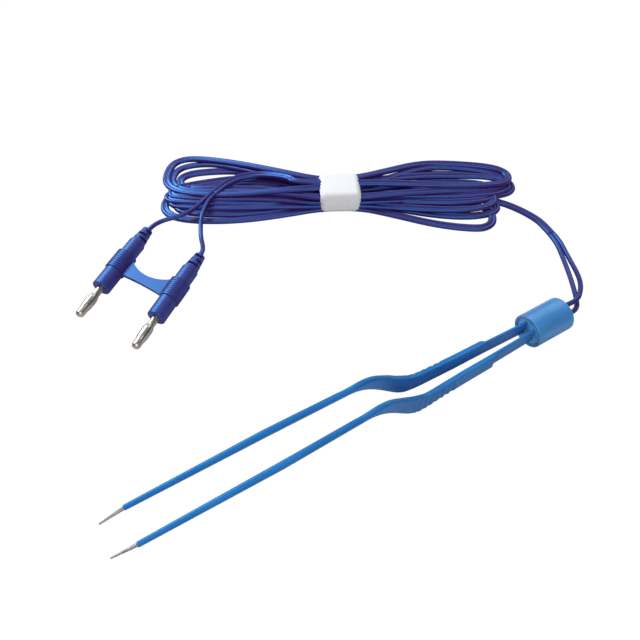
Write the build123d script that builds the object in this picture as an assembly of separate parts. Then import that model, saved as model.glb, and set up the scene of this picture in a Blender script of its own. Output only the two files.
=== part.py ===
from build123d import *
import math
import os

# Bayonet bipolar forceps with its twin cord and bridged two-pin plug. Millimetres.
# The forceps' own axes: x from the cap's mouth towards the tips, y across the arms, z up.
# The part lies as it rests: on the cap's lower lip, the grips, the wound cord and the plug.

# Cap that holds the two arms
cap_d = 13.6
cap_len = 17.5
cap_wall = 1.4
cap_back = 1.8
cap_back_round = 0.9
cap_lip_round = 0.35
recess_depth = 0.4

# Arms: lengths along x from the cap's mouth
spring_len = 18.4
ramp_len = 1.7
bend_start = 47.0
bend_run = 29.8
coat_end = 154.3
tip_end = 162.3
tang_len = 8.0
coat_potted = 1.0

# Arms: inner faces from the middle plane
gap_mouth = 1.6
gap_step = 2.25
gap_mid_grip = 2.7
gap_bend = 4.1
gap_mid_shaft = 4.9
gap_coat_end = 5.2
tip_off = 5.45

# Arms: thickness across y, with the coat on
spring_t = 1.2
grip_t = 2.15
bend_t = 2.05
shaft_t = 2.4
coat_end_t = 1.75

# Arms: height across the bar, with the coat on
spring_h = 6.8
grip_h = 7.0
grip_front_h = 7.7
belly_h = 8.3
bend_mid_h = 6.3
bend_fore_h = 5.4
neck_h = 2.7
shaft_h = 2.85
coat_end_h = 1.8

bayonet_rise = 15.5
shaft_drop = 0.05
tip_drop = 0.7
neck_len = 4.0
grip_round = 0.45
facet = 1.5
coat_t = 0.3
tip_root_r = 0.62
tip_point_r = 0.28

# Cross grooves on the outer faces of the grips
groove_count = 8
groove_first = 39.3
groove_pitch = 2.62
groove_r = 1.7
groove_depth = 0.3

# Arms' rooms in the potting
slot_side = 0.1
tang_side = 0.4
tang_over = 0.15
solder_r = 1.25
solder_len = 2.3
solder_over = 0.9
joint_gap = 0.3

# Cord
core_d = 2.0
lead_y = 2.0

# Plug: x runs forward from the front faces of the two plug bodies
pin_pitch = 28.6
body_r = 3.8
body_front_round = 0.5
collar_front = 9.3
collar_len = 9.8
collar_r = 4.3
collar_wall = 0.3
rib_count = 9
rib_share = 0.55
rear_r = 3.55
rear_end = 26.6
boot_end = 35.2
boot_r = 3.2
boot_end_r = 2.2
boot_levels = 3
boot_slot_w = 1.15
boot_pitch = 2.5
boot_slot_floor = 0.85
cord_in_boot = 4.2
bridge_skew = 4.3
web_t = 1.6
web_front_dip = 0.4
web_neck = 4.4
web_run_in = 0.6

# Pins, rolled from one sheet
pin_len = 15.0
pin_tube_r = 1.5
pin_crest_r = 2.1
pin_wall = 0.4
pin_leaf_start = 3.2
pin_crest_start = 6.0
pin_crest_len = 3.0
pin_leaf_end = 12.0
pin_nose_r = 1.72
pin_nose_len = 1.2
pin_point_r = 0.6
pin_slot_w = 0.45
pin_seam_w = 0.2
pin_root = 12.0

# Wound cord and its paper band
band_len = 19.0
band_w = 16.2
band_h = 9.8
band_t = 0.2
hank_end_h = 4.6
hank_slope = 30.0

# Places on the surface, from under the middle of the forceps
plug_x, plug_y, plug_turn = 55.7, -90.1, 37.5
hank_x, hank_y, hank_turn = -52.7, -106.5, -26.6


def smooth(w):
    """Soft step from 0 to 1, with level ends."""
    w = min(max(w, 0.0), 1.0)
    return w ** 3 * (6 * w * w - 15 * w + 10)


def smooth_slope(w):
    w = min(max(w, 0.0), 1.0)
    return 30 * w * w * (1 - w) ** 2


def between(x, knots):
    """Straight-line value at x between (place, value) knots, held past the last one."""
    for (x0, v0), (x1, v1) in zip(knots, knots[1:]):
        if x <= x1:
            return v0 + (v1 - v0) * (x - x0) / (x1 - x0)
    return knots[-1][1]


# Values along the arm
grip_start = spring_len + ramp_len
bend_mid = bend_start + bend_run / 2
bend_end = bend_start + bend_run
groove_end = groove_first + (groove_count - 0.5) * groove_pitch
neck_end = bend_end + neck_len
mid_shaft = (bend_mid + coat_end) / 2
cap_r = cap_d / 2
bore_r = cap_r - cap_wall
pot_front = -recess_depth
pot_rear = cap_back - cap_len


def inner_face(x):
    return between(x, [(0, gap_mouth), (grip_start, gap_step), ((grip_start + bend_mid) / 2, gap_mid_grip),
                       (bend_mid, gap_bend), (mid_shaft, gap_mid_shaft), (coat_end, gap_coat_end)])


def thickness(x):
    if x <= spring_len:
        return spring_t
    return between(x, [(spring_len, spring_t), (grip_start, grip_t), (bend_mid, bend_t),
                       (mid_shaft, shaft_t), (coat_end, coat_end_t)])


def height(x):
    """Upright height: the bar's own height, grown where the bar climbs."""
    quarter = bend_run / 4
    own = between(max(x, 0), [(0, spring_h), (grip_start, grip_h), (bend_start, grip_front_h),
                              (bend_start + quarter, belly_h), (bend_mid, bend_mid_h),
                              (bend_mid + quarter, bend_fore_h), (bend_end, neck_h), (mid_shaft, shaft_h),
                              (coat_end, coat_end_h)])
    climb = bayonet_rise * smooth_slope((x - bend_start) / bend_run) / bend_run
    return own * math.hypot(1, climb)


def centre_z(x):
    drop = shaft_drop * max(0.0, x - bend_end) / (coat_end - bend_end)
    return bayonet_rise * smooth((x - bend_start) / bend_run) - drop


def corner(x):
    """Corner rounding: small on the grips, nearly full on the shafts."""
    full = 0.46 * min(thickness(x), height(x))
    return grip_round + (full - grip_round) * smooth((x - bend_start) / (neck_end - bend_start))


def arm_section(x, inset):
    """Rounded rectangle across the arm at x, drawn in by inset."""
    centre = (x, inner_face(x) + thickness(x) / 2, centre_z(x))
    plane = Plane(origin=centre, x_dir=(0, 1, 0), z_dir=(1, 0, 0))
    wide, high = thickness(x) - 2 * inset, height(x) - 2 * inset
    radius = max(corner(x) - inset, 0.12)
    return plane * RectangleRounded(wide, high, min(radius, 0.48 * wide, 0.48 * high))


def arm_bar(start, inset):
    """One arm's bar from start to the coat's end: spring strip, ramp, grip, bend and shaft."""
    def bar(stations, straight=True):
        return loft([arm_section(x, inset) for x in stations], ruled=straight)

    steps = math.ceil((groove_end - bend_start) / facet)
    climb = [bend_start + (groove_end - bend_start) * k / steps for k in range(steps + 1)]
    grip = bar([grip_start, (grip_start + bend_start) / 2, *climb])
    for k in range(groove_count):
        x = groove_first + k * groove_pitch
        y = inner_face(x) + thickness(x) + groove_r - groove_depth
        grip -= Pos(x, y, 0) * Cylinder(groove_r + inset, 4 * grip_h)
    bend = bar([groove_end + (neck_end - groove_end) * k / 6 for k in range(7)], straight=False)
    shaft = bar([neck_end, (neck_end + mid_shaft) / 2, mid_shaft, coat_end])
    return bar([start, 0, spring_len]) + bar([spring_len, grip_start]) + grip + bend + shaft


def bare_tip():
    """Tapered round point that carries on from the coated bar and leans inwards."""
    root = Vector(coat_end - coat_t, inner_face(coat_end) + coat_end_t / 2, centre_z(coat_end))
    point = Vector(tip_end, tip_off, centre_z(coat_end) - tip_drop)
    line = point - root
    reach = line.length
    outline = Polyline((0, 0), (tip_root_r, 0), (tip_point_r, reach - tip_point_r))
    nose = RadiusArc((tip_point_r, reach - tip_point_r), (0, reach), -tip_point_r)
    back = Line((0, reach), (0, 0))
    profile = Plane.XZ * make_face([outline, nose, back])
    return Plane(origin=root, z_dir=line) * revolve(profile, Axis.Z)


def across(radius, x0, x1, y=0.0, z=0.0):
    """Solid round bar along x."""
    return Pos(x0, y, z) * Rot(0, 90, 0) * Cylinder(radius, x1 - x0, align=(Align.CENTER, Align.CENTER, Align.MIN))


def forceps_parts():
    """The cap, its potting and the left arm, in the forceps' own axes."""
    tang_start = pot_front - tang_len
    core = arm_bar(tang_start, coat_t) + bare_tip()
    coat = arm_bar(pot_front - coat_potted, 0) - core
    tang_y = inner_face(tang_start) + spring_t / 2
    solder_back = tang_start - solder_over
    solder = across(solder_r, solder_back, solder_back + solder_len, tang_y) - core
    solder = solder.solids().sort_by(SortBy.VOLUME)[-1]

    shell = across(cap_r, -cap_len, 0)
    rear_edge = shell.edges().filter_by(GeomType.CIRCLE).sort_by(Axis.X)[0]
    shell = fillet(rear_edge, cap_back_round)
    shell -= across(bore_r, pot_rear, 1)
    lips = shell.edges().filter_by(GeomType.CIRCLE).filter_by(lambda e: abs(e.center().X) < 0.01)
    shell = fillet(lips, cap_lip_round)
    potting = across(bore_r, pot_rear, pot_front)

    def slot(x, side):
        centre = (x, inner_face(x) + spring_t / 2, 0)
        plane = Plane(origin=centre, x_dir=(0, 1, 0), z_dir=(1, 0, 0))
        return plane * Rectangle(spring_t + 2 * side, spring_h + 2 * tang_over)

    lead_front = solder_back - joint_gap
    pocket = loft([slot(tang_start - joint_gap, tang_side), slot(pot_front, slot_side)], ruled=True)
    room = across(solder_r + tang_side, lead_front, solder_back + solder_len + joint_gap, tang_y)
    for side in (1, -1):
        cut = pocket + room if side == 1 else mirror(pocket + room, about=Plane.XZ)
        potting -= cut
        potting -= across(core_d / 2, pot_rear - 1, lead_front, side * lead_y)
        shell -= across(core_d / 2, -cap_len - 1, pot_rear + 1, side * lead_y)
    return core, coat, solder, shell, potting, lead_front


def turn_radii(points):
    """Each corner's arc takes 0.45 of its shorter run."""
    radii = []
    for before, here, after in zip(points, points[1:], points[2:]):
        run_in, run_out = Vector(here) - Vector(before), Vector(after) - Vector(here)
        turn = math.radians(run_in.get_angle(run_out))
        radii.append(0.45 * min(run_in.length, run_out.length) / math.tan(turn / 2))
    return radii


def cord_run(name, points, section):
    """Sweep a section along straight runs joined by arcs, and print how it came out."""
    radii = turn_radii(points)
    path = FilletPolyline(*points, radius=radii)
    start, heading = Vector(points[0]), Vector(points[1]) - Vector(points[0])
    level = Vector(0, 0, 1).cross(heading)
    solid = sweep(Plane(origin=start, x_dir=level, z_dir=heading) * section, path=path)
    ratio = solid.volume / (section.area * path.length)
    print(f"{name}: length {path.length:.1f}, tightest {min(radii):.1f}, volume ratio {ratio:.4f}")
    return solid


def plug_body(first_turned):
    """Moulded plug body with its slotted strain relief, front face at x 0."""
    outline = Polyline(
        (0, 0), (0, body_r), (-collar_front - collar_len, body_r), (-collar_front - collar_len, rear_r),
        (-rear_end, rear_r), (-rear_end - 0.4, boot_r), (-boot_end, boot_end_r), (-boot_end, 0), close=True,
    )
    body = revolve(make_face(outline), Axis.X)
    front = body.edges().filter_by(GeomType.CIRCLE).sort_by(Axis.X)[-1]
    body = fillet(front, body_front_round)
    body -= across(pin_tube_r, -pin_root, 1)
    body -= across(core_d / 2, -boot_end - 1, -boot_end + cord_in_boot)
    for level in range(boot_levels):
        x = -boot_end + boot_pitch * (level + 0.62)
        turned = (level % 2 == 0) == first_turned
        cut = Pos(x, 0, boot_slot_floor + boot_r) * Box(boot_slot_w, 3 * boot_r, 2 * boot_r)
        pair = cut + mirror(cut, about=Plane.XY)
        body -= Rot(90, 0, 0) * pair if turned else pair
    return body


def plug_pin():
    """Sprung pin: rolled tube, four bulged leaves and a rounded nose, with the roll's seam."""
    crest_end = pin_crest_start + pin_crest_len
    nose_front = pin_leaf_end + pin_nose_len

    def leaves(step):
        rise = Spline((pin_leaf_start, pin_tube_r - step), (pin_crest_start, pin_crest_r - step),
                      tangents=[(1, 0), (1, 0)])
        crest = Line((pin_crest_start, pin_crest_r - step), (crest_end, pin_crest_r - step))
        fall = Spline((crest_end, pin_crest_r - step), (pin_leaf_end, pin_nose_r - step), tangents=[(1, 0), (1, 0)])
        return [rise, crest, fall]

    shank = Polyline((-pin_root, 0), (-pin_root, pin_tube_r), (pin_leaf_start, pin_tube_r))
    nose = Line((pin_leaf_end, pin_nose_r), (nose_front, pin_nose_r))
    bullet = Spline((nose_front, pin_nose_r), (pin_len, pin_point_r), tangents=[(1, 0), (0.25, -1)])
    close = Polyline((pin_len, pin_point_r), (pin_len, 0), (-pin_root, 0))
    pin = revolve(make_face([shank, *leaves(0), nose, bullet, close]), Axis.X)
    inner_rear = Polyline((-pin_root - 1, 0), (-pin_root - 1, pin_tube_r - pin_wall),
                          (pin_leaf_start, pin_tube_r - pin_wall))
    inner_close = Polyline((pin_leaf_end, pin_nose_r - pin_wall), (pin_leaf_end, 0), (-pin_root - 1, 0))
    pin -= revolve(make_face([inner_rear, *leaves(pin_wall), inner_close]), Axis.X)
    leaf_gap = pin_leaf_end - pin_leaf_start - 0.6
    for turn in (45, 135):
        slot = Pos((pin_leaf_start + pin_leaf_end) / 2, 0, 0) * Box(leaf_gap, pin_slot_w, 3 * pin_crest_r)
        pin -= Rot(turn, 0, 0) * slot
    seam_len = pin_root + pin_leaf_start + 0.5
    seam = Pos(-pin_root + seam_len / 2, 0, pin_tube_r) * Box(seam_len, pin_seam_w, pin_tube_r)
    nick_len = pin_len - pin_leaf_end
    nick = Pos(pin_leaf_end + nick_len / 2, 0, pin_nose_r + pin_point_r) * Box(nick_len, pin_seam_w, 2 * pin_nose_r)
    turned = Rot(45, 0, 0)
    return pin - turned * seam - turned * nick


def plug_bridge():
    """Two ribbed collars and the flat web between them, one soft moulding."""
    rear = -collar_front - collar_len
    rib_pitch = collar_len / rib_count
    ridge = rib_pitch * rib_share
    points = [(rear, body_r)]
    for k in range(rib_count):
        x = rear + k * rib_pitch
        points += [(x, collar_r), (x + ridge, collar_r)]
        if k < rib_count - 1:
            points += [(x + ridge, body_r + collar_wall), (x + rib_pitch, body_r + collar_wall)]
    points += [(rear + (rib_count - 1) * rib_pitch + ridge, body_r)]
    collar = revolve(make_face(Polyline(*points, close=True)), Axis.X)
    half = pin_pitch / 2
    edge = half - body_r - collar_wall / 2
    shift = bridge_skew * edge / pin_pitch
    front_x, rear_x = -collar_front - rib_pitch * (1 - rib_share), rear + web_run_in
    middle_x = front_x - web_front_dip
    corners = {(x, side): (x + side * shift, side * edge) for x in (front_x, rear_x) for side in (1, -1)}
    front = ThreePointArc(corners[front_x, 1], (middle_x, 0), corners[front_x, -1])
    back = ThreePointArc(corners[rear_x, -1], (middle_x - web_neck, 0), corners[rear_x, 1])
    far_side = Line(corners[front_x, -1], corners[rear_x, -1])
    near_side = Line(corners[rear_x, 1], corners[front_x, 1])
    web = Pos(0, 0, -web_t / 2) * extrude(make_face([front, far_side, back, near_side]), web_t)
    web -= [Pos(side * bridge_skew / 2, side * half, 0) * across(body_r, -rear_end, 0) for side in (1, -1)]
    return web + [Pos(side * bridge_skew / 2, side * half, 0) * collar for side in (1, -1)]


def hank_solid():
    """Outer shape of the wound cord: pinched by the band, fanned out at both ends."""
    half_w, half_l = band_w / 2 - band_t, band_len / 2
    upper = Spline((-half_l, -half_w), (-32, -17.5), (-52, -26), (-74, -21.5), (-86, -8.5), (-76, 8),
                   (-69.5, 21.5), (-58, 25.5), (-36, 20), (-half_l, half_w),
                   tangents=[(-1, -0.2), (1, -0.2)])
    lower = Spline((half_l, half_w), (37, 10), (64, 12.5), (81, 4), (84.5, -14), (78.5, -29.5),
                   (62, -31), (39, -22), (half_l, -half_w), tangents=[(1, 0), (-1, 0.25)])
    plan = make_face([upper, Line((-half_l, half_w), (half_l, half_w)), lower,
                      Line((half_l, -half_w), (-half_l, -half_w))])
    reach = 100.0
    slope_end = half_l + hank_slope
    side = make_face(Polyline(
        (-reach, band_t), (-reach, hank_end_h), (-slope_end, hank_end_h), (-half_l, band_h - band_t),
        (half_l, band_h - band_t), (slope_end, hank_end_h), (reach, hank_end_h), (reach, band_t), close=True,
    ))
    tall = extrude(plan, 2 * band_h)
    wide = extrude(Plane.XZ * side, reach, both=True)
    return tall & wide


def band_solid():
    ring = Rectangle(band_w, band_h) - Rectangle(band_w - 2 * band_t, band_h - 2 * band_t)
    plane = Plane(origin=(-band_len / 2, 0, band_h / 2), x_dir=(0, 1, 0), z_dir=(1, 0, 0))
    return extrude(plane * ring, band_len)


def spot(location, x, y, z):
    """A point of a placed piece, on the surface's own axes."""
    return tuple((location * Pos(x, y, z)).position)


parts = {}
core, coat, solder, shell, potting, lead_front = forceps_parts()

# The forceps lies on the cap's lower lip and the bellies of its grips
belly_end = math.floor(2 * bend_mid)
lean = min(math.atan((cap_r + centre_z(x / 2) - height(x / 2) / 2) / (x / 2)) for x in range(60, belly_end))
pitch = math.degrees(lean)
tip_high = centre_z(coat_end) - tip_drop + cap_r
rear_x = -cap_len * math.cos(lean)
front_x = tip_end * math.cos(lean) + tip_high * math.sin(lean)
mouth_x = -(rear_x + front_x) / 2
lay = Pos(mouth_x, 0, 0) * Rot(0, pitch, 0) * Pos(0, 0, cap_r)

parts["cap_shell"] = lay * shell
parts["cap_potting"] = lay * potting
for name, solid in (("tine", core), ("insulation", coat), ("solder_joint", solder)):
    parts["left_" + name] = lay * solid
    parts["right_" + name] = lay * mirror(solid, about=Plane.XZ)

# Leads out of the cap: straight through its back wall, then down to the surface
lead_in = {side: spot(lay, lead_front, side * lead_y, 0) for side in (1, -1)}
lead_out = {side: spot(lay, -cap_len - 2.6, side * lead_y, 0) for side in (1, -1)}
right_route = [lead_in[-1], lead_out[-1], (-99.5, -1.2, 8.9), (-105.9, -4.9, 7.4), (-111.4, -9.6, 5.6),
               (-116.0, -15.2, 3.6), (-119.8, -21.6, 2.2), (-123.4, -28.5, 1.3), (-126.17, -33.9, 1.0),
               (-127.1, -38.82, 1.0)]
left_route = [lead_in[1], lead_out[1], (-98.2, 0.9, 6.6), (-102.7, -3.0, 5.4), (-108.2, -9.9, 4.2),
              (-113.6, -17.3, 2.9), (-119.9, -26.8, 1.5), (-124.25, -34.7, 1.0), (-125.1, -39.18, 1.0)]
parts["right_lead"] = cord_run("right_lead", right_route, Circle(core_d / 2))
parts["left_lead"] = cord_run("left_lead", left_route, Circle(core_d / 2))
twin = SlotOverall(2 * core_d, core_d)
cap_cord_route = [(-126.1, -39.0, 1.0), (-127.1, -44.4, 1.0), (-127.3, -50.9, 1.0), (-124.5, -60.2, 1.1),
                  (-119.8, -68.3, 1.3)]
parts["cap_cord"] = cord_run("cap_cord", cap_cord_route, twin)

hank_place = Pos(hank_x, hank_y, 0) * Rot(0, 0, hank_turn)
parts["cord_hank"] = hank_place * hank_solid()
parts["paper_band"] = hank_place * band_solid()

# The plug lies on the front edges of its bodies and collars
plug_lean = math.degrees(math.atan((collar_r - body_r) / collar_front))
lean = math.radians(plug_lean)
plug_z = collar_r * math.cos(lean) - collar_front * math.sin(lean)
plug_place = Pos(plug_x, plug_y, plug_z) * Rot(0, 0, plug_turn) * Rot(0, plug_lean, 0)
parts["plug_bridge"] = plug_place * plug_bridge()
cord_end, cord_out = {}, {}
for number, side in ((1, -1), (2, 1)):
    seat = plug_place * Pos(side * bridge_skew / 2, side * pin_pitch / 2, 0)
    parts[f"plug_body_{number}"] = seat * plug_body(number == 1)
    parts[f"plug_pin_{number}"] = seat * plug_pin()
    cord_end[number] = spot(seat, -boot_end + cord_in_boot, 0, 0)
    cord_out[number] = spot(seat, -boot_end - 2.4, 0, 0)
tail_route = [(-42.6, -116.2, 9.9), (-35.8, -124.1, 8.4), (-28.4, -133.4, 6.6), (-19.6, -139.4, 5.65),
              (-10.2, -138.7, 5.65), (-0.8, -134.0, 5.65)]
parts["tail_cord"] = cord_run("tail_cord", tail_route, twin)
plug_lead_1_route = [(-0.353, -134.894, 5.65), (4.12, -132.66, 5.65), (9.3, -129.0, 5.65), (15.2, -126.7, 5.8),
                     (21.4, -126.4, 5.9), (27.2, -127.2, 5.8), cord_out[1], cord_end[1]]
plug_lead_2_route = [(-1.247, -133.106, 5.65), (3.4, -130.78, 5.65), (7.3, -126.1, 5.8), (10.7, -121.7, 5.9),
                     (13.5, -116.4, 4.2), (15.7, -110.9, 3.5), (17.0, -105.4, 4.6), cord_out[2], cord_end[2]]
parts["plug_lead_1"] = cord_run("plug_lead_1", plug_lead_1_route, Circle(core_d / 2))
parts["plug_lead_2"] = cord_run("plug_lead_2", plug_lead_2_route, Circle(core_d / 2))

os.makedirs("parts", exist_ok=True)
for name, solid in parts.items():
    export_step(solid, f"parts/{name}.step")
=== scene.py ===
import math

import bpy
from mathutils import Matrix, Vector


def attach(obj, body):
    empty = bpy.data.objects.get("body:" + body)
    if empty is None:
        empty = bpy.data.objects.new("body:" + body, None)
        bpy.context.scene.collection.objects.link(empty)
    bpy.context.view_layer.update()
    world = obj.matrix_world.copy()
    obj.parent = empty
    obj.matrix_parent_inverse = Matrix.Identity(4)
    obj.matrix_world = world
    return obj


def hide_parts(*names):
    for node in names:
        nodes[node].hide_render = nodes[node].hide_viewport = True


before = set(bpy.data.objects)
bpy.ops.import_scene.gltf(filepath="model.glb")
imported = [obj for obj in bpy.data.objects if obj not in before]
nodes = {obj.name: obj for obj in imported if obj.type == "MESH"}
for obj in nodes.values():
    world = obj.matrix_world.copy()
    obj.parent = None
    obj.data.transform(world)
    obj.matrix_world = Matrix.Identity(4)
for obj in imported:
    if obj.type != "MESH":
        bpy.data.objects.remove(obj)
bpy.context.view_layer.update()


def mm(*values):
    """Millimetres to metres."""
    return tuple(v / 1000 for v in values)


# How far the plug and the wound cord are turned from the forceps
plug_turn = math.radians(37.5)
hank_turn = math.radians(-26.6)


# Shader maths and nodes

class Socket:
    """A node's output, with operators that add Math nodes."""

    def __init__(self, finish, out):
        self.finish = finish
        self.out = out

    def maths(self, operation, *values):
        return self.finish.add("ShaderNodeMath", {"operation": operation}, dict(enumerate(values)))

    def __add__(self, other):
        return self.maths("ADD", self, other)

    def __radd__(self, other):
        return self.maths("ADD", other, self)

    def __mul__(self, other):
        return self.maths("MULTIPLY", self, other)

    def __rmul__(self, other):
        return self.maths("MULTIPLY", other, self)


class Finish:
    """One material: a Principled surface and the nodes that vary it."""

    def __init__(self, name, **surface):
        self.material = bpy.data.materials.new(name)
        self.material.use_nodes = True
        self.tree = self.material.node_tree
        self.surface = self.tree.nodes["Principled BSDF"]
        self.output = self.tree.nodes["Material Output"]
        self.set(self.surface, surface)

    def set(self, node, values):
        for key, value in values.items():
            socket = node.inputs[key.replace("_", " ") if isinstance(key, str) else key]
            if isinstance(value, Socket):
                self.tree.links.new(value.out, socket)
            else:
                socket.default_value = value

    def add(self, kind, settings=None, values=None, output=0):
        node = self.tree.nodes.new(kind)
        for key, value in (settings or {}).items():
            setattr(node, key, value)
        self.set(node, values or {})
        return Socket(self, node.outputs[output])

    def place(self, stretch=(1, 1, 1), turn=(0, 0, 0)):
        """Object coordinates, stretched to draw a pattern out along an axis."""
        where = self.add("ShaderNodeTexCoord", output="Object")
        return self.add("ShaderNodeMapping", None, {"Vector": where, "Scale": stretch, "Rotation": turn})

    def noise(self, scale, detail=3.0, rough=0.5, where=None):
        where = where or self.place()
        values = {"Vector": where, "Scale": scale, "Detail": detail, "Roughness": rough}
        return self.add("ShaderNodeTexNoise", None, values)

    def colour(self, pattern, low, high, a, b):
        """Base colour a where the pattern is low or less, b where it is high or more."""
        edges = {"Value": pattern, "From Min": low, "From Max": high, "To Min": 0.0, "To Max": 1.0}
        part = self.add("ShaderNodeMapRange", None, edges)
        mix = self.add("ShaderNodeMix", {"data_type": "RGBA"}, {0: part, 6: a, 7: b}, output=2)
        self.set(self.surface, {"Base Color": mix})

    def roughness(self, value):
        self.set(self.surface, {"Roughness": value})

    def bump(self, height, strength, distance):
        values = {"Height": height, "Strength": strength, "Distance": distance}
        self.set(self.surface, {"Normal": self.add("ShaderNodeBump", None, values)})


def rgb(red, green, blue):
    return (red, green, blue, 1.0)


def blue_coating():
    """Dip coating on the arms: blue in faint patches, with a slightly wavy gloss."""
    f = Finish("insulating_coating", Specular_IOR_Level=0.6, Specular_Tint=(0.0, 0.5, 1.0, 1.0))
    broad = f.noise(60, 4)
    fine = f.noise(900, 3, 0.6)
    f.colour(broad, 0.35, 0.65, rgb(0.019, 0.125, 0.38), rgb(0.026, 0.155, 0.44))
    f.roughness(0.3 + 0.1 * fine)
    f.bump(broad * 0.7 + fine * 0.3, 0.06, 0.0002)
    return f.material


def cord_jacket():
    """Soft jacket of the cord: dark purple under a blue satin shine, with a fine grain."""
    f = Finish("cord_jacket", IOR=1.8, Specular_IOR_Level=1.0, Specular_Tint=(0.0, 0.34, 1.0, 1.0))
    broad = f.noise(45, 4)
    fine = f.noise(1500, 3, 0.6)
    f.colour(broad, 0.35, 0.65, rgb(0.042, 0.006, 0.080), rgb(0.050, 0.009, 0.100))
    f.roughness(0.34 + 0.10 * fine)
    f.bump(fine, 0.03, 0.0002)
    return f.material


def plug_moulding():
    """Moulded plug: dark purple-blue under a blue shine, with a faint spark-eroded grain."""
    f = Finish("plug_moulding", IOR=1.7, Specular_IOR_Level=1.0, Specular_Tint=(0.0, 0.40, 1.0, 1.0))
    broad = f.noise(70, 3)
    grain = f.noise(2600, 2, 0.6)
    f.colour(broad, 0.35, 0.65, rgb(0.044, 0.018, 0.140), rgb(0.052, 0.026, 0.170))
    f.roughness(0.44 + 0.08 * grain)
    f.bump(grain, 0.006, 0.0001)
    return f.material


def cap_plastic():
    """Light-blue cap: solid colour in cloudy patches, a soft shine and fine scuffs."""
    f = Finish("cap_plastic", Coat_Weight=0.15, Coat_Roughness=0.2, Subsurface_Weight=0.3,
               Subsurface_Scale=0.003)
    cloud = f.noise(120, 4)
    scuff = f.noise(700, 2, 0.7, f.place((1, 6, 6)))
    f.colour(cloud, 0.3, 0.7, rgb(0.042, 0.20, 0.48), rgb(0.055, 0.24, 0.54))
    f.roughness(0.26 + 0.16 * scuff)
    f.bump(scuff, 0.05, 0.0003)
    return f.material


def potting_resin():
    """Resin that fills the cap round the arms."""
    f = Finish("potting_resin", Coat_Weight=0.3, Coat_Roughness=0.12)
    cloud = f.noise(220, 4)
    f.colour(cloud, 0.35, 0.65, rgb(0.10, 0.40, 0.76), rgb(0.14, 0.48, 0.84))
    f.roughness(0.14 + 0.14 * cloud)
    f.bump(cloud, 0.25, 0.0008)
    return f.material


def bare_steel():
    """Stainless tips with fine lengthwise grinding lines."""
    f = Finish("bare_steel", Metallic=1.0)
    lines = f.noise(2200, 3, 0.7, f.place((0.06, 1, 1)))
    patch = f.noise(260, 3)
    f.colour(patch, 0.35, 0.65, rgb(0.24, 0.23, 0.25), rgb(0.34, 0.33, 0.35))
    f.roughness(0.26 + 0.24 * lines)
    f.bump(lines, 0.15, 0.0002)
    return f.material


def nickel_plate():
    """Plated pins, lightly worn, with fine lines along them."""
    f = Finish("nickel_plate", Metallic=1.0)
    wear = f.noise(340, 4, 0.6)
    lines = f.noise(1500, 2, 0.5, f.place((0.08, 1, 1), (0, 0, -plug_turn)))
    f.colour(wear, 0.35, 0.7, rgb(0.48, 0.445, 0.40), rgb(0.58, 0.54, 0.485))
    f.roughness(0.30 + 0.08 * lines + 0.10 * wear)
    f.bump(wear, 0.01, 0.0001)
    return f.material


def solder():
    """Dull uneven solder."""
    f = Finish("solder_metal", Metallic=1.0)
    lump = f.noise(900, 3)
    f.colour(lump, 0.35, 0.65, rgb(0.5, 0.5, 0.49), rgb(0.64, 0.64, 0.62))
    f.roughness(0.3 + 0.3 * lump)
    f.bump(lump, 0.4, 0.0006)
    return f.material


def white_paper():
    """Uncoated paper band with faint fibres."""
    f = Finish("white_paper")
    fibre = f.noise(1100, 4, 0.7, f.place((1, 2.2, 1), (0, 0, -hank_turn)))
    cloud = f.noise(160, 3)
    f.colour(fibre, 0.3, 0.7, rgb(0.68, 0.68, 0.70), rgb(0.76, 0.76, 0.78))
    f.roughness(0.78 + 0.14 * cloud)
    f.bump(fibre * 0.7 + cloud * 0.3, 0.3, 0.0003)
    return f.material


finishes = {
    "insulation": blue_coating(), "jacket": cord_jacket(), "plug": plug_moulding(), "cap": cap_plastic(),
    "potting": potting_resin(), "steel": bare_steel(), "pin": nickel_plate(), "solder": solder(),
    "paper": white_paper(),
}


def dress(name, finish):
    """Give a CAD node its finish."""
    slots = nodes[name].material_slots
    for slot in slots:
        slot.material = finishes[finish]
    if not slots:
        nodes[name].data.materials.append(finishes[finish])


for side in ("left", "right"):
    dress(side + "_insulation", "insulation")
    dress(side + "_tine", "steel")
    dress(side + "_solder_joint", "solder")
for number in ("1", "2"):
    dress("plug_body_" + number, "plug")
    dress("plug_pin_" + number, "pin")
dress("plug_bridge", "plug")
dress("cap_shell", "cap")
dress("cap_potting", "potting")


# Cords

def nurbs(name, points, smoothness=8):
    """One open NURBS spline with these control points."""
    data = bpy.data.curves.new(name, "CURVE")
    data.dimensions = "3D"
    data.resolution_u = smoothness
    line = data.splines.new("NURBS")
    line.points.add(len(points) - 1)
    for point, place in zip(line.points, points):
        point.co = (*place, 1.0)
    line.order_u = 3
    line.use_endpoint_u = True
    made = bpy.data.objects.new(name, data)
    bpy.context.scene.collection.objects.link(made)
    return made


def line_of(points, smoothness=8):
    """Points along the smooth line."""
    guide = nurbs("guide", points, smoothness)
    bpy.context.view_layer.update()
    mesh = bpy.data.meshes.new_from_object(guide)
    line = [v.co.copy() for v in mesh.vertices]
    bpy.data.meshes.remove(mesh)
    bpy.data.objects.remove(guide)
    return line


# A core's radius and its distance from the cord's middle, in metres, and its arc beside the web
core_r = 0.001
core_offset = 0.00096
core_arc = 150
core_steps = 8
lead_smoothness = 16


def twin_section():
    """Outline across the twin cord: two round cores joined by a thin web."""
    outline = []
    for side in (1, -1):
        for k in range(core_steps + 1):
            angle = math.radians(-core_arc + 2 * core_arc * k / core_steps)
            across, up = core_offset + core_r * math.cos(angle), core_r * math.sin(angle)
            outline.append((side * across, side * up))
    return outline


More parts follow.
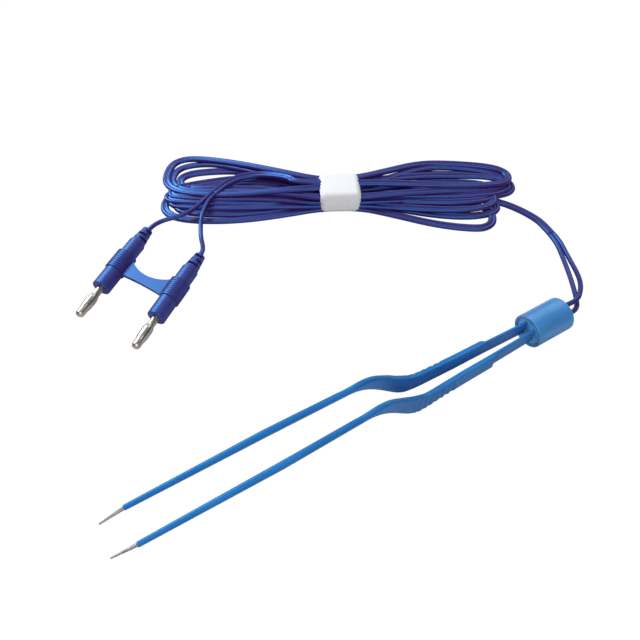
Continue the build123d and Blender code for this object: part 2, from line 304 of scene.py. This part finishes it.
def twin_cord(name, points, tilt):
    """Mesh of the flat twin cord along a smooth line; tilt(reach) rolls it, reach in metres."""
    line = line_of(points)
    section = twin_section()
    count = len(section)
    reach = [0.0]
    for before, here in zip(line, line[1:]):
        reach.append(reach[-1] + (here - before).length)
    places = []
    for k, here in enumerate(line):
        heading = (line[min(k + 1, len(line) - 1)] - line[max(k - 1, 0)]).normalized()
        level = Vector((0, 0, 1)).cross(heading).normalized()
        up = heading.cross(level)
        roll = Matrix.Rotation(tilt(reach[k]), 3, heading)
        level, up = roll @ level, roll @ up
        places += [here + level * a + up * b for a, b in section]
    faces = []
    for k in range(len(line) - 1):
        for j in range(count):
            n = (j + 1) % count
            faces.append((k * count + j, k * count + n, (k + 1) * count + n, (k + 1) * count + j))
    last = (len(line) - 1) * count
    faces.append(tuple(reversed(range(count))))
    faces.append(tuple(last + j for j in range(count)))
    mesh = bpy.data.meshes.new(name)
    mesh.from_pydata([tuple(p) for p in places], [], faces)
    mesh.materials.append(finishes["jacket"])
    made = bpy.data.objects.new(name, mesh)
    bpy.context.scene.collection.objects.link(made)
    for face in mesh.polygons:
        face.use_smooth = len(face.vertices) == 4
    return made, line, reach[-1]


# The wound cord, in its own axes: u along it towards the plug's end, v towards the forceps, z up
hank_centre = Vector(mm(-52.7, -106.5, 0))
band_half = 9.5


def hank(u, v, z):
    """A point of the wound cord, in metres."""
    x = u * math.cos(hank_turn) - v * math.sin(hank_turn)
    y = u * math.sin(hank_turn) + v * math.cos(hank_turn)
    return tuple(hank_centre + Vector(mm(x, y, z)))


def share(a, b, t):
    """The value t of the way from a to b."""
    return a + (b - a) * t


def end_loop(side, slot_in, slot_out, reach, far, near, heights, lean=0.0):
    """Points of one end loop: out on the first shoulder, round the end and back on the second."""
    (far_u, far_v), (near_u, near_v) = far, near
    far_z, end_z, near_z = heights
    wide = near_v - far_v
    (v0, z0), (v1, z1) = slot_in, slot_out
    rise, spread, gather, settle = shoulders[side]
    points = [
        (band_half, v0, z0),
        (share(band_half, far_u, 0.3), share(v0, far_v, rise), share(z0, far_z, 0.25)),
        (share(band_half, far_u, 0.68), share(v0, far_v, spread), share(z0, far_z, 0.7)),
        (far_u, far_v, far_z),
        (share(far_u, reach, 0.72), far_v + (0.06 + lean) * wide, share(far_z, end_z, 0.6)),
        (reach, far_v + (0.30 + lean) * wide, end_z),
        (reach, far_v + (0.66 + 0.6 * lean) * wide, end_z),
        (share(near_u, reach, 0.68), near_v - 0.10 * wide, share(near_z, end_z, 0.5)),
        (near_u, near_v, near_z),
        (share(band_half, near_u, 0.66), share(v1, near_v, gather), share(z1, near_z, 0.75)),
        (share(band_half, near_u, 0.3), share(v1, near_v, settle), share(z1, near_z, 0.25)),
        (band_half, v1, z1),
    ]
    return [hank(side * u, v, z) for u, v, z in points]


# How soon the passes spread beyond the band, at the plug's end (1) and at the cap's end (-1)
shoulders = {1: (0.34, 0.76, 0.92, 0.48), -1: (0.36, 0.88, 0.80, 0.35)}

# Where each pass lies inside the band: (v, z) at its left and right edges
going_left = [
    ((-2.0, 1.4), (-2.0, 1.4)), ((-6.0, 1.4), (-6.0, 1.4)), ((-2.0, 3.2), (-2.0, 3.2)),
    ((-6.0, 3.2), (-6.0, 3.2)), ((-2.1, 5.2), (-2.1, 5.2)), ((-6.2, 5.4), (-6.2, 5.2)),
    ((-2.2, 7.0), (-2.2, 7.0)), ((-6.7, 8.0), (-6.2, 7.0)), ((-2.9, 9.4), (-6.4, 9.1)),
]
going_right = [
    ((6.0, 1.4), (6.0, 1.4)), ((2.0, 1.4), (2.0, 1.4)), ((6.0, 3.2), (6.0, 3.2)), ((2.0, 3.2), (2.0, 3.2)),
    ((6.2, 5.2), (6.2, 5.2)), ((2.0, 5.2), (2.0, 5.2)), ((5.8, 7.6), (5.8, 7.6)), ((1.0, 9.2), (-2.4, 9.2)),
]

# End loops from the lowest turn up: reach, far shoulder, near shoulder, heights, lean
left_loops = [
    (81.8, (66, -9.0), (60, 13.6), (1.4, 1.4, 1.4)),
    (76.0, (56, -8.0), (58, 9.6), (1.6, 1.6, 2.0), 0.1),
    (78.4, (50, -11.0), (56, 6.4), (1.8, 2.4, 3.0), 0.22),
    (80.4, (48, -14.0), (54, 3.6), (2.2, 3.0, 3.6), 0.25),
    (79.0, (46, -17.0), (56, 1.0), (2.0, 3.4, 4.0), 0.25),
    (76.0, (52, -22.2), (62, -7.0), (2.4, 2.2, 3.4)),
    (79.8, (62, -27.0), (60, -3.6), (3.2, 2.8, 4.2)),
    (82.4, (70, -30.4), (56, -0.6), (4.2, 3.6, 4.8)),
]
right_loops = [
    (71.0, (50, 5.0), (62, 22.8), (1.4, 1.4, 1.4)),
    (74.4, (52, 1.0), (58, 14.8), (1.6, 1.6, 1.8)),
    (73.6, (52, -3.6), (56, 11.8), (2.2, 3.2, 3.4)),
    (75.0, (54, -9.0), (54, 7.4), (3.0, 3.0, 4.4)),
    (85.4, (56, -15.8), (66, 2.8), (3.2, 1.8, 3.0)),
    (83.0, (56, -19.4), (62, 3.0), (4.4, 3.0, 4.6), 0.06),
    (80.6, (56, -12.6), (60, 0.0), (4.4, 3.8, 5.6)),
    (84.2, (55, -21.8), (66, -2.2), (4.8, 4.4, 6.4), 0.07),
]

cap_end = [mm(-126.1, -39.0, 1.0), mm(-127.1, -44.4, 1.0), mm(-127.3, -50.9, 1.0), mm(-124.5, -60.2, 1.0),
           hank(-77.1, 4.1, 1.2), hank(-66, 0.6, 1.4), hank(-52, -1.2, 1.4), hank(-34, -2.0, 1.4),
           hank(-20, -2.0, 1.4)]
plug_end = [hank(14, -3.4, 9.3), hank(22, -4.9, 9.0), mm(-35.8, -124.1, 8.4), mm(-31.7, -129.6, 7.4),
            mm(-27.5, -134.3, 6.4), mm(-22.3, -137.8, 5.6), mm(-16.2, -139.2, 5.6), mm(-8.8, -137.7, 5.6),
            mm(-4.2, -135.9, 5.6), mm(-0.8, -134.0, 5.65)]


def wound_route():
    """Control points of the twin cord, from the cap's leads through eight turns to the plug's."""
    route = list(cap_end)
    for k, (left, right) in enumerate(zip(left_loops, right_loops)):
        route.append(hank(-band_half, *going_left[k][1]))
        route += end_loop(1, going_left[k][0], going_right[k][0], *left)
        route += end_loop(-1, going_left[k + 1][1], going_right[k][1], *right)[::-1]
    route.append(hank(band_half, *going_left[-1][0]))
    return route + plug_end


def roll(reach):
    """Slow uneven roll of the flat cord, in radians."""
    return min(1, 8 * reach) * (0.14 * math.sin(reach * 41 + 0.7) + 0.10 * math.sin(reach * 67 + 2.1))


twin, twin_line, twin_length = twin_cord("twin_cord", wound_route(), roll)
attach(twin, "root")
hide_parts("cap_cord", "cord_hank", "tail_cord")
print("twin cord", round(twin_length, 4), len(twin_line))


def single_core(name, node, points):
    made = nurbs(name, points, lead_smoothness)
    made.data.bevel_depth = core_r
    made.data.bevel_resolution = 5
    made.data.use_fill_caps = True
    made.data.materials.append(finishes["jacket"])
    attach(made, "root")
    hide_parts(node)
    return made


def length_of(points):
    line = line_of(points, lead_smoothness)
    return sum((b - a).length for a, b in zip(line, line[1:]))


right_route = [mm(*p) for p in (
    (-82.09, -2.0, 7.35), (-92.574, -2.0, 7.965), (-99.5, -1.2, 8.9), (-105.9, -4.9, 7.4),
    (-111.4, -9.6, 5.6), (-116.0, -15.2, 3.6), (-119.8, -21.6, 2.2), (-123.4, -28.5, 1.3),
    (-126.17, -33.9, 1.0), (-127.1, -38.82, 1.0))]
left_route = [mm(*p) for p in (
    (-82.09, 2.0, 7.35), (-92.574, 2.0, 7.965), (-98.2, 0.9, 6.6), (-102.7, -3.0, 5.4), (-108.2, -9.9, 4.2),
    (-113.6, -17.3, 2.9), (-119.9, -26.8, 1.5), (-124.25, -34.7, 1.0), (-125.1, -39.18, 1.0))]
plug_1_route = [mm(*p) for p in (
    (-0.353, -134.894, 5.65), (4.12, -132.66, 5.65), (9.3, -129.0, 5.65), (15.2, -126.7, 5.8),
    (21.4, -126.4, 5.9), (27.2, -127.2, 5.8), (32.915, -125.608, 5.93), (38.144, -121.596, 5.57))]
plug_2_route = [mm(*p) for p in (
    (-1.247, -133.106, 5.65), (3.4, -130.78, 5.65), (7.3, -126.1, 5.8), (10.7, -121.7, 5.9),
    (13.5, -116.4, 4.2), (15.7, -110.9, 3.5), (17.0, -105.4, 4.6), (18.911, -100.305, 5.7),
    (24.139, -96.292, 5.34))]
leads = {}
for name, route in (("right_lead", right_route), ("left_lead", left_route),
                    ("plug_lead_1", plug_1_route), ("plug_lead_2", plug_2_route)):
    leads[name] = single_core(name + "_cord", name, route)
    print(name, round(length_of(route), 4))

for name, route in (("right_lead", right_route), ("left_lead", left_route)):
    length_of(route)
for number, route in (("1", plug_1_route), ("2", plug_2_route)):
    leads["plug_lead_" + number]
    length_of(route)
    nodes["plug_body_" + number]
    nodes["plug_pin_" + number]


# Paper band

band_size = mm(2 * band_half, 17.4, 10.6)
band_middle = mm(0, 0, 5.5)
band_corner = 0.0028
paper_thickness = 0.0002


def deselect():
    bpy.ops.object.select_all(action="DESELECT")


def mode(name):
    bpy.ops.object.mode_set(mode=name)


def paper_band():
    """A paper strip wound once round the cord, without the lap, which is out of sight."""
    deselect()
    bpy.ops.mesh.primitive_cube_add(size=1)
    band = bpy.context.object
    band.name = "paper_strip"
    band.scale = band_size
    band.rotation_euler = (0, 0, hank_turn)
    band.location = hank_centre + Vector(band_middle)
    mode("EDIT")
    bpy.ops.mesh.select_all(action="DESELECT")
    mode("OBJECT")
    for edge in band.data.edges:
        a, b = (band.data.vertices[i].co for i in edge.vertices)
        edge.select = abs(a.x - b.x) > 0.5
    mode("EDIT")
    bpy.context.tool_settings.mesh_select_mode = (False, True, False)
    mode("OBJECT")
    bpy.ops.object.transform_apply(location=False, rotation=False, scale=True)
    mode("EDIT")
    bpy.ops.mesh.bevel(offset=band_corner, segments=8, affect="EDGES")
    bpy.ops.mesh.select_all(action="DESELECT")
    mode("OBJECT")
    for face in band.data.polygons:
        face.select = abs(face.normal.x) > 0.9
    mode("EDIT")
    bpy.context.tool_settings.mesh_select_mode = (False, False, True)
    bpy.ops.mesh.delete(type="ONLY_FACE")
    mode("OBJECT")
    bpy.ops.object.transform_apply(location=True, rotation=True, scale=True)
    solid = band.modifiers.new("wall", "SOLIDIFY")
    solid.thickness = paper_thickness
    solid.offset = 1.0
    bpy.ops.object.modifier_apply(modifier="wall")
    bpy.ops.object.shade_smooth_by_angle(angle=math.radians(40))
    band.data.materials.append(finishes["paper"])
    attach(band, "root")
    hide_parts("paper_band")


paper_band()


# Floor, light and camera

floor_tone = 0.56
glow_share = 0.96
glow_strength = 1.04
sky_strength = 0.10
cool = (0.92, 0.97, 1.0)
warm = (1.0, 0.97, 0.97)


def stage_floor():
    deselect()
    bpy.ops.mesh.primitive_plane_add(size=6, location=(0, 0, 0))
    floor = bpy.context.object
    floor.name = "floor"
    f = Finish("white_sweep", Roughness=0.7)
    f.set(f.surface, {"Base Color": rgb(floor_tone, floor_tone, floor_tone)})
    path = f.tree.nodes.new("ShaderNodeLightPath")
    seen = Socket(f, path.outputs["Is Camera Ray"])
    seen = seen.maths("MAXIMUM", seen, Socket(f, path.outputs["Is Transmission Ray"]))
    glow = f.add("ShaderNodeEmission", None, {"Color": rgb(1, 1, 1), "Strength": glow_strength})
    mixed = f.add("ShaderNodeMixShader", None,
                  {0: seen * glow_share, 1: Socket(f, f.surface.outputs[0]), 2: glow})
    f.tree.links.new(mixed.out, f.output.inputs["Surface"])
    floor.data.materials.append(f.material)


def studio_world():
    world = bpy.data.worlds.new("studio")
    bpy.context.scene.world = world
    world.use_nodes = True
    tree = world.node_tree
    sky = tree.nodes["Background"]
    sky.inputs["Color"].default_value = (0.95, 0.97, 1.0, 1.0)
    sky.inputs["Strength"].default_value = sky_strength
    white = tree.nodes.new("ShaderNodeBackground")
    white.inputs["Color"].default_value = (1, 1, 1, 1)
    path = tree.nodes.new("ShaderNodeLightPath")
    both = tree.nodes.new("ShaderNodeMath")
    both.operation = "MAXIMUM"
    tree.links.new(path.outputs["Is Camera Ray"], both.inputs[0])
    tree.links.new(path.outputs["Is Transmission Ray"], both.inputs[1])
    mix = tree.nodes.new("ShaderNodeMixShader")
    tree.links.new(both.outputs[0], mix.inputs[0])
    tree.links.new(sky.outputs[0], mix.inputs[1])
    tree.links.new(white.outputs[0], mix.inputs[2])
    tree.links.new(mix.outputs[0], tree.nodes["World Output"].inputs["Surface"])


def softbox(name, place, aim, size, power, colour):
    """A square-cornered lamp, its size in metres and its power in watts, turned towards aim."""
    data = bpy.data.lights.new(name, "AREA")
    data.shape = "RECTANGLE"
    data.size, data.size_y = size
    data.energy = power
    data.color = colour
    lamp = bpy.data.objects.new(name, data)
    lamp.location = place
    lamp.rotation_euler = (Vector(aim) - Vector(place)).to_track_quat("-Z", "Y").to_euler()
    bpy.context.scene.collection.objects.link(lamp)


def photo_camera():
    """The photograph's view, solved with the pitch of the plug's pins."""
    right = Vector((-0.8659, 0.49973, 0.02227))
    up = Vector((-0.37935, -0.68504, 0.62195))
    back = right.cross(up)
    data = bpy.data.cameras.new("photo_camera")
    data.sensor_width = 36
    data.lens = 32.535
    data.clip_start = 0.01
    camera = bpy.data.objects.new("photo_camera", data)
    turn = Matrix((right, up, back)).transposed().to_4x4()
    camera.matrix_world = Matrix.Translation((0.06702, 0.07491, 0.18159)) @ turn
    bpy.context.scene.collection.objects.link(camera)
    bpy.context.scene.camera = camera


stage_floor()
studio_world()
softbox("key", (0.17, -0.61, 0.48), (0, -0.06, 0), (0.4, 0.26), 5.8, cool)
softbox("rim", (-0.48, -0.42, 0.48), (-0.05, -0.08, 0), (0.6, 0.5), 1.6, cool)
softbox("fill", (0.1, 0.45, 0.55), (0, -0.05, 0), (0.6, 0.6), 4.0, warm)
photo_camera()
bpy.context.scene.view_settings.view_transform = "Standard"
